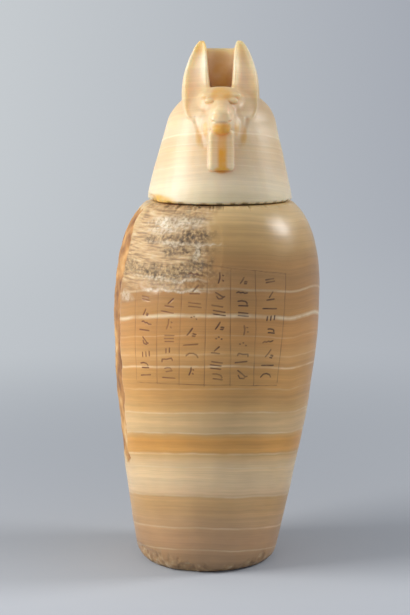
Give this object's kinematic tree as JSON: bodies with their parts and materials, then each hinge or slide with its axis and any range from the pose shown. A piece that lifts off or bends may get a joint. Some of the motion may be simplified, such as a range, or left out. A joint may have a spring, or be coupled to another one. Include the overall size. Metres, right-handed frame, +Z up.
{
  "type": "canopic jar",
  "caption": "Hollow banded calcite jar with a jackal-headed lid that rests in its mouth; an inscribed panel on its front and worn, eaten stone on its left side.",
  "frame": {"origin": "on the ground, under the middle of the jar's widest part", "axes": "+Z up, -Y the front with the jackal's face and the inscribed panel, +X to the right as seen from the front"},
  "size_m": [0.1589, 0.1592, 0.3998],
  "materials": {
    "jar_calcite": "polished banded calcite, honey to brown, with pale veins",
    "lid_calcite": "polished banded calcite, cream, with a yellow seam down the face"
  },
  "bodies": {
    "root": {"jar": "jar_calcite", "lid": "lid_calcite"}
  },
  "joints": []
}
